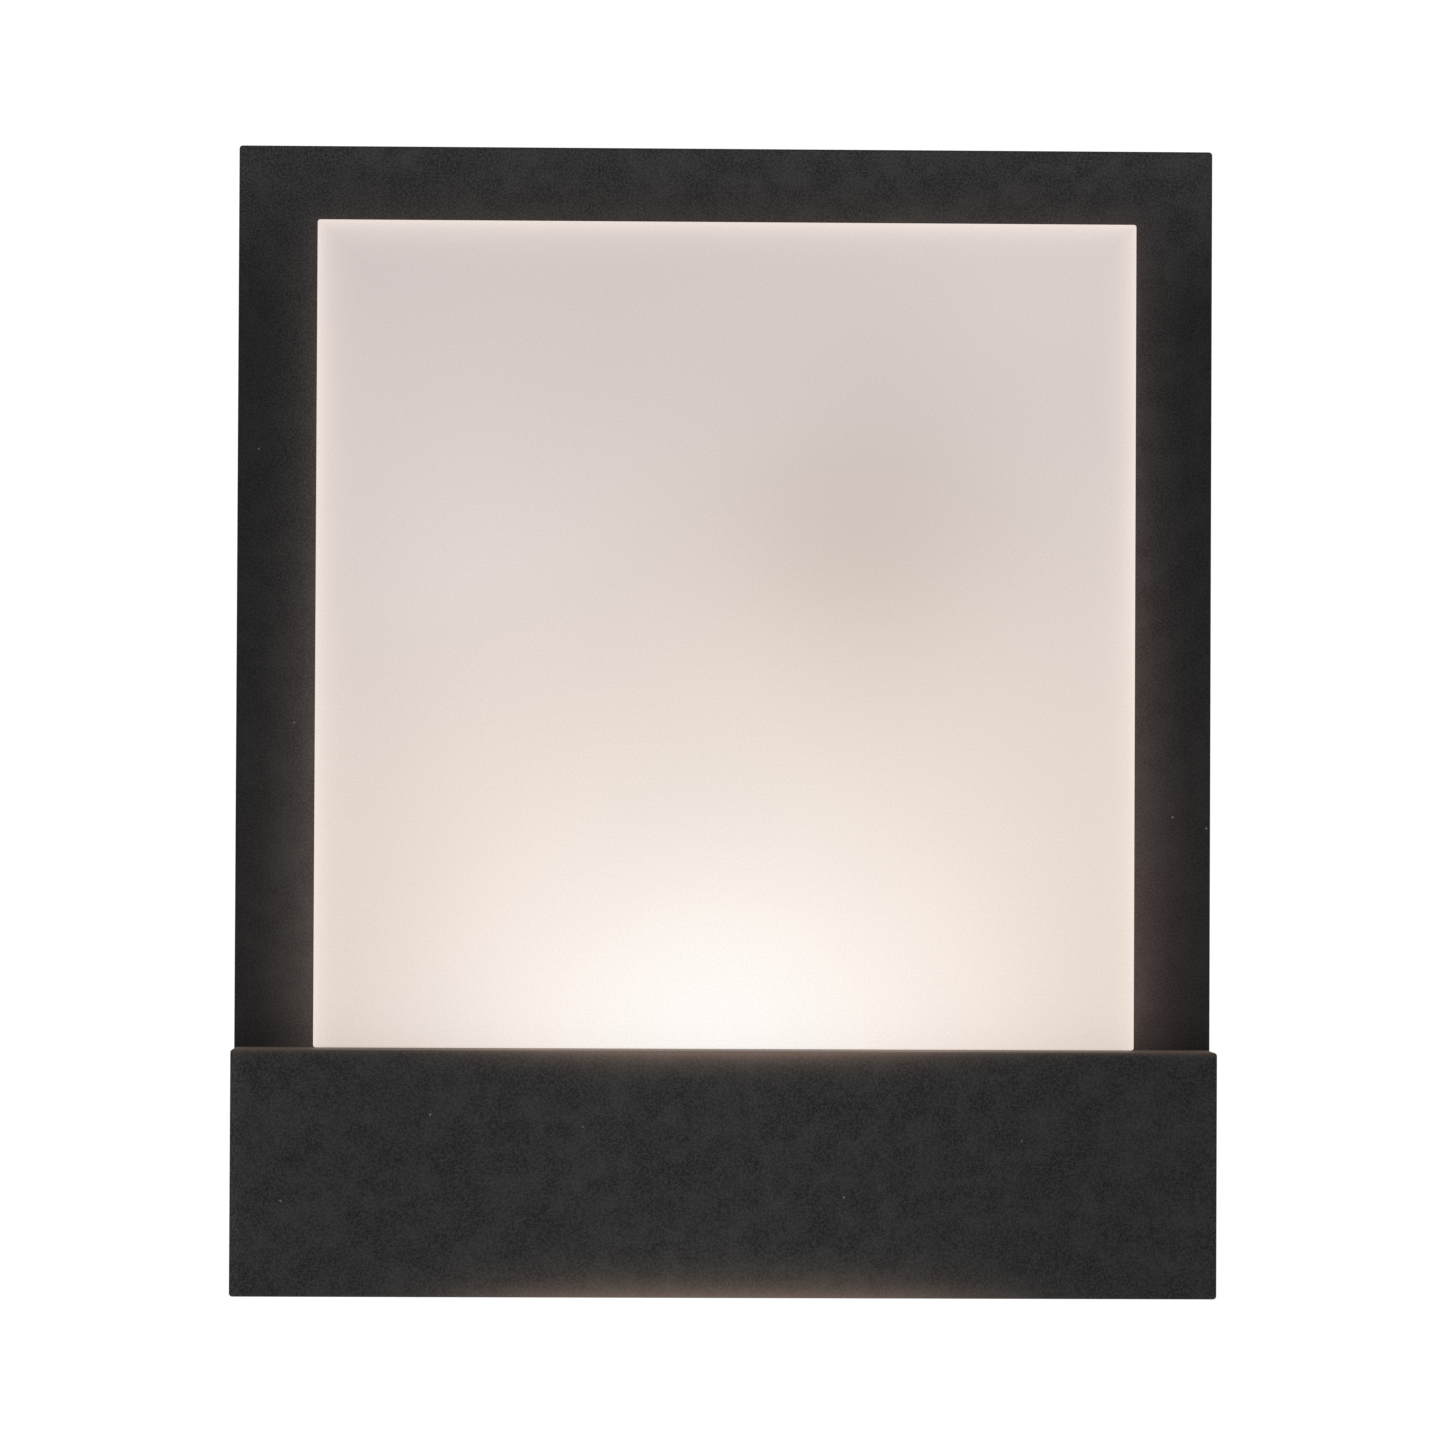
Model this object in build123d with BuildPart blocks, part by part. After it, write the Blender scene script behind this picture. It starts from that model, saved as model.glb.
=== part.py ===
"""Outdoor wall lantern: a black frame with an opal light panel above a lower cover.

Frame of reference, in millimetres: +X right, +Z up and -Y out of the wall. The origin is on the
wall, in the middle of the four wall screws. Plane.XZ.offset(d) is a plane at depth d from the wall,
and its sketches are drawn in (x, z).
"""

import os

from build123d import *

# ---- overall sizes -------------------------------------------------------------------------
width = 230.0  # outside of the frame
height = 270.0
projection = 82.0  # wall to the front of the lower cover
box_proud = 18.0  # lower cover in front of the frame's face
panel_proud = 12.0  # light panel in front of the frame's face
side_bar = 19.0  # frame beside the panel
top_bar = 18.5  # frame above the panel
box_height = 57.5  # lower cover

# ---- walls and clearances ------------------------------------------------------------------
casting = 2.5  # wall of the frame, the lower cover and the rear housing
corner_r = 0.8  # upright corners of the castings
edge_r = 0.6  # front edges of the castings
panel_edge_r = 0.6
acrylic = 2.5  # wall of the light panel and the lens
fit_gap = 0.3  # between parts that pass each other
side_gap = 1.0  # rear housing to the inside of the frame

# ---- rear housing --------------------------------------------------------------------------
seal_thickness = 3.0  # foam seal on the wall
seal_width = 14.0
skirt_gap = 2.0  # back edge of the frame to the wall
rim_height = 12.0
rim_wall = 2.0
wall_screw_edge = 11.0  # wall screws to the sides of the frame
screw_spacing_z = 120.0
wall_hole_r = 2.75
washer_r = 5.0
washer_thickness = 1.5
cable_x, cable_z = 32.0, 50.0  # supply cable
cable_hole_r = 11.0
cable_bore_r = 4.5
grommet_lip = 3.0
grommet_lip_thickness = 2.0
post_r = 3.5
post_height = 5.0
rivet_r = 1.9
rivet_hole_r = 2.0
m3_r = 1.4  # screw core
m3_hole_r = 1.45
m3_clear_r = 1.7

# ---- light chamber -------------------------------------------------------------------------
flange = 6.0  # panel's edge behind the frame
panel_seal = 1.0
reflector_wall = 1.2
reflector_margin = 1.5  # outside of the reflector beyond the panel's opening
reflector_back = 15.0  # depth of the reflector's back from the wall
led_slot_length = 84.0
led_slot_width = 22.0

# ---- lower compartment ---------------------------------------------------------------------
bracket_length = 90.0
bracket_sheet = 2.0
bracket_top_drop = 7.0  # top shelf under the top of the lower cover
bracket_inside = 36.0  # between the two shelves
bracket_reach = 56.0  # depth of the shelves' front edge from the wall
board_length = 84.0
board_width = 16.0
board_thickness = 1.6
board_depth = 46.0  # middle of both boards, from the wall
chip_size = 3.5
chip_thickness = 0.8
connector_length, connector_width, connector_height = 6.0, 8.0, 3.0
driver_x = -77.0
driver_length, driver_height, driver_thickness = 46.0, 34.0, 22.0
ear_length = 8.0  # fixing ears of the driver and the terminal
ear_thickness = 2.0
terminal_x = 73.0
terminal_height, terminal_thickness = 20.0, 16.0
lever_width = 6.0
lever_pitch = 9.4
lever_thickness = 3.8
lever_length = 13.0
lever_pin_r = 1.2
lever_pin_gap = 0.05
mains_wire_r = 0.9
mains_bend = 4.5
led_wire_r = 0.7
led_bend = 3.5
led_wire_gap = 4.8  # middle to middle at the connectors
tag_barrel_r = 1.3

# ---- down light and the screws that hold the front -----------------------------------------
lens_length, lens_width = 80.0, 20.0
lens_depth = 40.0  # middle of the down light from the wall
lens_flange = 4.0
lens_seal = 0.8
lens_flange_thickness = 1.7
fixing_x = 95.0
fixing_depth = 26.0
fixing_boss_r = 7.0
tab_width = 18.0
tab_upright = 7.5
tab_reach = 35.5  # depth of the tabs' front edge from the wall
m4_r = 2.0
m4_clear_r = 2.2
m4_head_r = 3.8
m4_head = 2.4
nut_r = 4.0
nut_height = 3.2

# ---- front casting -------------------------------------------------------------------------
crossbar = 10.0  # between the panel's opening and the one behind the lower cover
cover_screw_x = 104.0
cover_boss_r = 4.0
clip_boss = 7.0
clip_length = 13.0
clip_sheet = 1.0

# ---- places worked out from the sizes above ------------------------------------------------
bottom, top = -height / 2, height / 2
frame_face = projection - box_proud
panel_face = frame_face + panel_proud
plate_back = frame_face - casting  # rear surface of the frame's front wall
box_top = bottom + box_height
panel_half = width / 2 - side_bar
panel_top = top - top_bar
panel_low = box_top + fit_gap
panel_mid = (panel_top + panel_low) / 2
plate_front = seal_thickness + casting  # front surface of the rear housing's plate
housing_w = width - 2 * (casting + side_gap)
housing_h = height - 2 * (casting + side_gap)
post_face = plate_front + post_height
tab_low = bottom + casting + side_gap + rim_wall + fit_gap
flange_front = plate_back - panel_seal
flange_back = flange_front - acrylic
reflector_half = panel_half + reflector_margin
reflector_low = box_top - reflector_wall
reflector_high = panel_top + reflector_margin
reflector_front = flange_back - fit_gap
shelf_top = box_top - bracket_top_drop
shelf_low = shelf_top - 2 * bracket_sheet - bracket_inside  # underside of the lower shelf
up_board_top = shelf_top + board_thickness
down_board_low = shelf_low - board_thickness
lower_mid = (bottom + box_top) / 2

screw_spacing_x = width - 2 * wall_screw_edge
wall_holes = [(sx * screw_spacing_x / 2, sz * screw_spacing_z / 2) for sx in (-1, 1) for sz in (-1, 1)]
parts = []


def keep(builder, name):
    """Labels a finished piece and keeps it for export."""
    builder.part.label = name
    parts.append(builder.part)
    return builder.part


def seats(points, depth, way):
    """Planes under screw heads; way is -1 for heads facing the front and 1 for the wall."""
    return [Plane(origin=(x, -depth, z), z_dir=(0, way, 0)) for x, z in points]


def screws(name, places, shank, head_r, head, core_r):
    """Pan-head screws with a cross recess, one on each plane in `places`."""
    with BuildPart() as one:
        with BuildSketch():
            Circle(head_r)
        extrude(amount=head)
        fillet(one.edges().group_by(Axis.Z)[-1], head * 0.35)
        with BuildSketch(Plane.XY.offset(head)):
            Rectangle(head_r * 1.1, head_r * 0.26)
            Rectangle(head_r * 0.26, head_r * 1.1)
        extrude(amount=-head * 0.6, mode=Mode.SUBTRACT)
        with BuildSketch():
            Circle(core_r)
        extrude(amount=-shank)
    with BuildPart() as made:
        with Locations(*places):
            add(one.part)
    keep(made, name)


def ring(outer_w, outer_h, inner_w, inner_h, mid_z=0.0, inner_mid_z=None):
    """A rectangular ring in the current sketch."""
    with Locations((0, mid_z)):
        Rectangle(outer_w, outer_h)
    with Locations((0, mid_z if inner_mid_z is None else inner_mid_z)):
        Rectangle(inner_w, inner_h, mode=Mode.SUBTRACT)


# ============================================================================================
# Wall side
# ============================================================================================

# ---- foam seal against the wall ----
with BuildPart() as wall_gasket:
    with BuildSketch(Plane.XZ):
        ring(housing_w, housing_h, housing_w - 2 * seal_width, housing_h - 2 * seal_width)
        with Locations(*wall_holes):
            Circle(wall_hole_r, mode=Mode.SUBTRACT)
    extrude(amount=seal_thickness)
keep(wall_gasket, "wall_gasket")

# ---- rear housing: plate and rim, with its standoffs ----
bracket_posts = [(-32.0, shelf_top - 14.0), (32.0, shelf_top - 14.0), (0.0, shelf_low + 18.0)]
driver_mid_z = shelf_top - 17.0
driver_posts = [
    (driver_x + s * (driver_length / 2 + ear_length / 2), driver_mid_z) for s in (-1, 1)
]
terminal_z = shelf_top - 14.0
terminal_wall = lever_pitch - lever_width - 2 * fit_gap
terminal_length = 3 * lever_pitch + terminal_wall
terminal_posts = [
    (terminal_x + s * (terminal_length / 2 + ear_length / 2), terminal_z) for s in (-1, 1)
]
earth_point = (terminal_x + 27.0, terminal_z - 10.0)
short_posts = bracket_posts + driver_posts + terminal_posts + [earth_point]
rivet_x = panel_half - 12.0
rivet_points = [(sx * rivet_x, z) for sx in (-1, 1) for z in (box_top + 20.0, panel_top - 16.0)]

with BuildPart() as rear_housing:
    with BuildSketch(Plane.XZ.offset(seal_thickness)):
        RectangleRounded(housing_w, housing_h, corner_r)
    extrude(amount=casting + rim_height)
    with BuildSketch(Plane.XZ.offset(plate_front)):
        Rectangle(housing_w - 2 * rim_wall, housing_h - 2 * rim_wall)
    extrude(amount=rim_height, mode=Mode.SUBTRACT)
    with BuildSketch(Plane.XZ.offset(seal_thickness)):
        with Locations(*wall_holes):
            Circle(wall_hole_r)
        with Locations((cable_x, cable_z)):
            Circle(cable_hole_r)
    extrude(amount=casting, mode=Mode.SUBTRACT)
keep(rear_housing, "rear_housing")

with BuildPart() as standoffs:
    for points, face, hole_r in (
        (short_posts, post_face, m3_hole_r),
        (rivet_points, reflector_back, rivet_hole_r),
    ):
        with BuildSketch(Plane.XZ.offset(plate_front)):
            with Locations(*points):
                Circle(post_r)
                Circle(hole_r, mode=Mode.SUBTRACT)
        extrude(amount=face - plate_front)
keep(standoffs, "standoffs")

# ---- tabs that the front's screws clamp, each with a slot open to the front ----
fixing_points = [(-fixing_x, fixing_depth), (fixing_x, fixing_depth)]
tab_rivets_at = [(x + dx, tab_low + casting + 4.2) for x, _ in fixing_points for dx in (-5.0, 5.0)]
with BuildPart() as fixing_tabs:
    for x, _ in fixing_points:
        with BuildSketch(Plane.YZ.offset(x - tab_width / 2)):
            with BuildLine():
                Polyline(
                    (-plate_front, tab_low),
                    (-plate_front, tab_low + casting + tab_upright),
                    (-plate_front - casting, tab_low + casting + tab_upright),
                    (-plate_front - casting, tab_low + casting),
                    (-tab_reach, tab_low + casting),
                    (-tab_reach, tab_low),
                    close=True,
                )
            make_face()
        extrude(amount=tab_width)
    with BuildSketch(Plane.XY.offset(tab_low)):
        for x, d in fixing_points:
            with Locations((x, -d)):
                Circle(m4_clear_r)
            with Locations((x, -d - tab_width / 2)):
                Rectangle(2 * m4_clear_r, tab_width)
    extrude(amount=casting, mode=Mode.SUBTRACT)
    with BuildSketch(Plane.XZ.offset(plate_front)):
        with Locations(*tab_rivets_at):
            Circle(rivet_hole_r)
    extrude(amount=casting, mode=Mode.SUBTRACT)
keep(fixing_tabs, "fixing_tabs")

with BuildPart() as tab_rivets:
    with BuildSketch(Plane.XZ.offset(plate_front + casting)):
        with Locations(*tab_rivets_at):
            Circle(rivet_r + 0.9)
    extrude(amount=1.1)
    fillet(tab_rivets.edges().group_by(Axis.Y)[0], 0.8)
    with BuildSketch(Plane.XZ.offset(plate_front)):
        with Locations(*tab_rivets_at):
            Circle(rivet_r)
    extrude(amount=casting)
keep(tab_rivets, "tab_rivets")

# ---- lip seal around the rim, which the frame slides over ----
lip_thickness = side_gap - fit_gap
lip_back, lip_width = plate_front + 3.0, 6.0
with BuildPart() as housing_gasket:
    with BuildSketch(Plane.XZ.offset(lip_back)):
        RectangleRounded(
            housing_w + 2 * lip_thickness, housing_h + 2 * lip_thickness, corner_r + lip_thickness
        )
        RectangleRounded(housing_w, housing_h, corner_r, mode=Mode.SUBTRACT)
    extrude(amount=lip_width)
keep(housing_gasket, "housing_gasket")

# ---- rubber washers under the heads of the wall screws ----
with BuildPart() as wall_screw_washers:
    with BuildSketch(Plane.XZ.offset(plate_front)):
        with Locations(*wall_holes):
            Circle(washer_r)
            Circle(wall_hole_r, mode=Mode.SUBTRACT)
    extrude(amount=washer_thickness)
keep(wall_screw_washers, "wall_screw_washers")

# ---- rubber grommet for the supply cable ----
with BuildPart() as cable_grommet:
    with BuildSketch(Plane.XZ.offset(seal_thickness)):
        with Locations((cable_x, cable_z)):
            Circle(cable_hole_r)
    extrude(amount=casting)
    for depth in (seal_thickness - grommet_lip_thickness, plate_front):
        with BuildSketch(Plane.XZ.offset(depth)):
            with Locations((cable_x, cable_z)):
                Circle(cable_hole_r + grommet_lip)
        extrude(amount=grommet_lip_thickness)
    fillet(cable_grommet.edges().group_by(Axis.Y)[0], 0.8)
    with BuildSketch(Plane.XZ.offset(seal_thickness - grommet_lip_thickness)):
        with Locations((cable_x, cable_z)):
            Circle(cable_bore_r)
    extrude(amount=2 * grommet_lip_thickness + casting, mode=Mode.SUBTRACT)
keep(cable_grommet, "cable_grommet")

# ---- white reflector tray behind the panel ----
slot_mid = board_depth + 1.0
with BuildPart() as reflector_tray:
    reflector_h = reflector_high - reflector_low
    reflector_mid = (reflector_high + reflector_low) / 2
    with BuildSketch(Plane.XZ.offset(reflector_back)):
        with Locations((0, reflector_mid)):
            RectangleRounded(2 * reflector_half, reflector_h, 3.0)
    extrude(amount=reflector_front - reflector_back)
    with BuildSketch(Plane.XZ.offset(reflector_back + reflector_wall)):
        with Locations((0, reflector_mid)):
            RectangleRounded(
                2 * (reflector_half - reflector_wall), reflector_h - 2 * reflector_wall, 2.0
            )
    extrude(amount=reflector_front - reflector_back, mode=Mode.SUBTRACT)
    with BuildSketch(Plane.XY.offset(reflector_low)):
        with Locations((0, -slot_mid)):
            Rectangle(led_slot_length, led_slot_width)
    extrude(amount=reflector_wall, mode=Mode.SUBTRACT)
    with BuildSketch(Plane.XZ.offset(reflector_back)):
        with Locations(*rivet_points):
            Circle(rivet_hole_r)
    extrude(amount=reflector_wall, mode=Mode.SUBTRACT)
keep(reflector_tray, "reflector_tray")

rivet_seat = reflector_back + reflector_wall
with BuildPart() as reflector_rivets:
    with BuildSketch(Plane.XZ.offset(rivet_seat)):
        with Locations(*rivet_points):
            Circle(rivet_r + 2.0)
    extrude(amount=1.2)
    fillet(reflector_rivets.edges().group_by(Axis.Y)[0], 0.8)
    with BuildSketch(Plane.XZ.offset(rivet_seat)):
        with Locations(*rivet_points):
            Circle(rivet_r)
    extrude(amount=-7.0)
keep(reflector_rivets, "reflector_rivets")

# ---- aluminium bracket that carries the two LED boards ----
board_holes = [(x, -board_depth) for x in (-board_length / 2 + 11.0, board_length / 2 - 11.0)]
with BuildPart() as led_bracket:
    with BuildSketch(Plane.YZ.offset(-bracket_length / 2)):
        with BuildLine():
            Polyline(
                (-bracket_reach, shelf_top),
                (-post_face, shelf_top),
                (-post_face, shelf_low),
                (-bracket_reach, shelf_low),
                (-bracket_reach, shelf_low + bracket_sheet),
                (-post_face - bracket_sheet, shelf_low + bracket_sheet),
                (-post_face - bracket_sheet, shelf_top - bracket_sheet),
                (-bracket_reach, shelf_top - bracket_sheet),
                close=True,
            )
        make_face()
    extrude(amount=bracket_length)
    bends = led_bracket.edges().filter_by(Axis.X).group_by(Axis.Y)
    fillet(bends[-1], bracket_sheet + 0.5)
    fillet(bends[-2], 0.5)
    with BuildSketch(Plane.XZ.offset(post_face)):
        with Locations(*bracket_posts):
            Circle(m3_clear_r)
    extrude(amount=bracket_sheet, mode=Mode.SUBTRACT)
    with BuildSketch(Plane.XY.offset(shelf_low)):
        with Locations(*board_holes):
            Circle(m3_hole_r)
    extrude(amount=shelf_top - shelf_low, mode=Mode.SUBTRACT)
keep(led_bracket, "led_bracket")
screws(
    "bracket_screws", seats(bracket_posts, post_face + bracket_sheet, -1), 6.5, 2.8, 1.8, m3_r
)

# ---- LED boards, chips and connectors ----
for name, level in (("up_led_board", shelf_top), ("down_led_board", down_board_low)):
    with BuildPart() as board:
        with BuildSketch(Plane.XY.offset(level)):
            with Locations((0, -board_depth)):
                RectangleRounded(board_length, board_width, 1.0)
            with Locations(*board_holes):
                Circle(m3_clear_r, mode=Mode.SUBTRACT)
        extrude(amount=board_thickness)
    keep(board, name)

chip_places = {
    "up_led_chips": (up_board_top, 6, 2),
    "down_led_chips": (down_board_low - chip_thickness, 6, 1),
}
for name, (level, across, rows) in chip_places.items():
    with BuildPart() as chips:
        with BuildSketch(Plane.XY.offset(level)):
            with Locations((0, -board_depth)):
                with GridLocations(9.0, 7.0, across, rows):
                    RectangleRounded(chip_size, chip_size, 0.4)
        extrude(amount=chip_thickness)
    keep(chips, name)

connector_x = board_length / 2 - connector_length / 2
connector_spots = [
    (-connector_x, up_board_top),
    (connector_x, up_board_top),
    (connector_x, down_board_low - connector_height),
]
with BuildPart() as led_connectors:
    for x, level in connector_spots:
        with BuildSketch(Plane.XY.offset(level)):
            with Locations((x, -board_depth)):
                Rectangle(connector_length, connector_width)
        extrude(amount=connector_height)
    chamfer(led_connectors.edges().filter_by(Axis.Z), 0.4)
keep(led_connectors, "led_connectors")

# The upper board is screwed down from above and the lower one from below.
board_seats = [Plane(origin=(x, y, up_board_top)) for x, y in board_holes]
board_seats += [Plane(origin=(x, y, down_board_low), z_dir=(0, 0, -1)) for x, y in board_holes]
screws("board_screws", board_seats, board_thickness + bracket_sheet, 2.6, 1.6, m3_r)

# ---- LED driver ----
with BuildPart() as led_driver:
    with BuildSketch(Plane.XZ.offset(plate_front)):
        with Locations((driver_x, driver_mid_z)):
            RectangleRounded(driver_length, driver_height, 2.0)
    extrude(amount=driver_thickness)
    fillet(led_driver.edges().group_by(Axis.Y)[0], 1.5)
    # parting groove of the case
    with BuildSketch(Plane.XZ.offset(plate_front + driver_thickness * 0.6)):
        with Locations((driver_x, driver_mid_z)):
            Rectangle(driver_length + 2, driver_height + 2)
            Rectangle(driver_length - 1.0, driver_height - 1.0, mode=Mode.SUBTRACT)
    extrude(amount=0.6, mode=Mode.SUBTRACT)
    # ears
    with BuildSketch(Plane.XZ.offset(post_face)):
        with Locations((driver_x, driver_mid_z)):
            Rectangle(driver_length + 2 * ear_length, 9.0)
        with Locations(*driver_posts):
            Circle(m3_clear_r, mode=Mode.SUBTRACT)
    extrude(amount=ear_thickness)
keep(led_driver, "led_driver")
screws("driver_screws", seats(driver_posts, post_face + ear_thickness, -1), 6.5, 2.4, 1.8, m3_r)

# ---- lever terminal for the supply wires ----
terminal_front = plate_front + terminal_thickness
terminal_high = terminal_z + terminal_height / 2
terminal_low = terminal_z - terminal_height / 2
pivot_depth = terminal_front - lever_thickness / 2 - fit_gap
pivot_z = terminal_high - 4.0
slot_depth = lever_thickness + 2 * fit_gap
lever_slot = lever_width + 2 * fit_gap
pole_x = [terminal_x + k * lever_pitch for k in (-1, 0, 1)]
wire_depth = plate_front + 6.0  # wires in the terminal, from the wall
supply_hole_r = 2.0
with BuildPart() as terminal_block:
    with BuildSketch(Plane.XZ.offset(plate_front)):
        with Locations((terminal_x, terminal_z)):
            RectangleRounded(terminal_length, terminal_height, 1.0)
    extrude(amount=terminal_thickness)
    # a slot for each lever, open at the bottom so that a finger gets under the lever's end
    with BuildSketch(Plane.XZ.offset(terminal_front - slot_depth)):
        for x in pole_x:
            with Locations((x, (pivot_z + lever_thickness / 2 + fit_gap + terminal_low) / 2)):
                Rectangle(lever_slot, pivot_z + lever_thickness / 2 + fit_gap - terminal_low)
    extrude(amount=slot_depth, mode=Mode.SUBTRACT)
    # bore for the levers' trunnions
    with BuildSketch(Plane.YZ.offset(terminal_x - terminal_length / 2)):
        with Locations((-pivot_depth, pivot_z)):
            Circle(lever_pin_r + lever_pin_gap)
    extrude(amount=terminal_length, mode=Mode.SUBTRACT)
    # holes for the supply wires, from above
    with BuildSketch(Plane.XY.offset(terminal_high)):
        for x in pole_x:
            with Locations((x, -wire_depth)):
                Circle(supply_hole_r)
    extrude(amount=-8.0, mode=Mode.SUBTRACT)
    # ears
    with BuildSketch(Plane.XZ.offset(post_face)):
        with Locations((terminal_x, terminal_z)):
            Rectangle(terminal_length + 2 * ear_length, 8.0)
        with Locations(*terminal_posts):
            Circle(m3_clear_r, mode=Mode.SUBTRACT)
        with Locations((terminal_x, terminal_z)):
            Rectangle(terminal_length - 1.0, 8.0, mode=Mode.SUBTRACT)
    extrude(amount=ear_thickness)
keep(terminal_block, "terminal_block")
screws(
    "terminal_screws", seats(terminal_posts, post_face + ear_thickness, -1), 6.5, 2.4, 1.8, m3_r
)

for name, x in zip(("lever_earth", "lever_neutral", "lever_live"), pole_x):
    with BuildPart() as lever:
        # The lever hangs from its pivot, with a round head and a raised finger tip.
        with BuildSketch(Plane.YZ.offset(x - lever_width / 2)):
            with Locations((-pivot_depth, pivot_z)):
                Circle(lever_thickness / 2)
            with Locations((-pivot_depth, pivot_z - lever_length / 2)):
                Rectangle(lever_thickness, lever_length)
            with Locations((-pivot_depth - lever_thickness / 2, pivot_z - lever_length + 1.0)):
                Circle(1.0)
        extrude(amount=lever_width)
        pin_length = lever_slot + 2 * 1.0
        with BuildSketch(Plane.YZ.offset(x - pin_length / 2)):
            with Locations((-pivot_depth, pivot_z)):
                Circle(lever_pin_r)
        extrude(amount=pin_length)
    keep(lever, name)

# ---- earth screw and ring tag ----
tag_thickness = 0.8
tag_low = earth_point[1] - 10.0
with BuildPart() as earth_ring_tag:
    with BuildSketch(Plane.XZ.offset(post_face)):
        with Locations(earth_point):
            Circle(3.6)
        with Locations((earth_point[0], earth_point[1] - 5.0)):
            Rectangle(2.6, 6.0)
        with Locations(earth_point):
            Circle(m3_clear_r, mode=Mode.SUBTRACT)
    extrude(amount=tag_thickness)
    with BuildSketch(Plane.XY.offset(tag_low)):
        with Locations((earth_point[0], -post_face - tag_barrel_r)):
            Circle(tag_barrel_r)
    extrude(amount=3.5)
keep(earth_ring_tag, "earth_ring_tag")
screws("earth_screw", seats([earth_point], post_face + tag_thickness, -1), 5.0, 3.0, 2.2, m3_r)


# ---- wires inside: straight runs joined by arcs, ending face to face with what they join ----
def wire(name, radius, bend, *paths):
    """Round wires, each along a polyline with rounded corners."""
    with BuildPart() as made:
        for points in paths:
            with BuildLine() as path:
                FilletPolyline(*points, radius=bend)
            with BuildSketch(Plane(origin=path.line @ 0, z_dir=path.line % 0)):
                Circle(radius)
            sweep(path=path.line)
    keep(made, name)


driver_end = driver_x + driver_length / 2
mains_y = -(wire_depth + 3.0)
neutral_z = terminal_low - 6.0
live_z = neutral_z - 2.6
neutral_x, live_x = pole_x[1], pole_x[2]
wire(
    "wire_neutral",
    mains_wire_r,
    mains_bend,
    [(neutral_x, mains_y, terminal_low), (neutral_x, mains_y, neutral_z), (driver_end, mains_y, neutral_z)],
)
wire(
    "wire_live",
    mains_wire_r,
    mains_bend,
    [(live_x, mains_y, terminal_low), (live_x, mains_y, live_z), (driver_end, mains_y, live_z)],
)
earth_y = -(post_face + tag_barrel_r)
earth_low = tag_low - 6.0
wire(
    "wire_earth",
    mains_wire_r,
    mains_bend,
    [
        (pole_x[0], earth_y, terminal_low),
        (pole_x[0], earth_y, earth_low),
        (earth_point[0], earth_y, earth_low),
        (earth_point[0], earth_y, tag_low),
    ],
)

# The driver feeds the upper board, and two short wires link it to the lower board.
led_y = [-(board_depth - led_wire_gap / 2), -(board_depth + led_wire_gap / 2)]
up_wire_z = up_board_top + connector_height / 2
down_wire_z = down_board_low - connector_height / 2
board_end = board_length / 2
for name, y, from_y, from_z, feed_x in (
    ("wire_led_positive", led_y[0], -22.0, driver_mid_z + 12.0, -board_end - 6.7),
    ("wire_led_negative", led_y[1], -24.5, driver_mid_z + 8.0, -board_end - 4.8),
):
    wire(
        name,
        led_wire_r,
        led_bend,
        [(driver_end, from_y, from_z), (feed_x, from_y, from_z), (feed_x, y, up_wire_z),
         (-board_end, y, up_wire_z)],
    )
link_x = board_end + 7.0
for name, y in (("wire_link_positive", led_y[0]), ("wire_link_negative", led_y[1])):
    wire(
        name,
        led_wire_r,
        led_bend,
        [(board_end, y, up_wire_z), (link_x, y, up_wire_z), (link_x, y, down_wire_z),
         (board_end, y, down_wire_z)],
    )

# ============================================================================================
# Front, which pulls off the rear housing
# ============================================================================================

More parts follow.
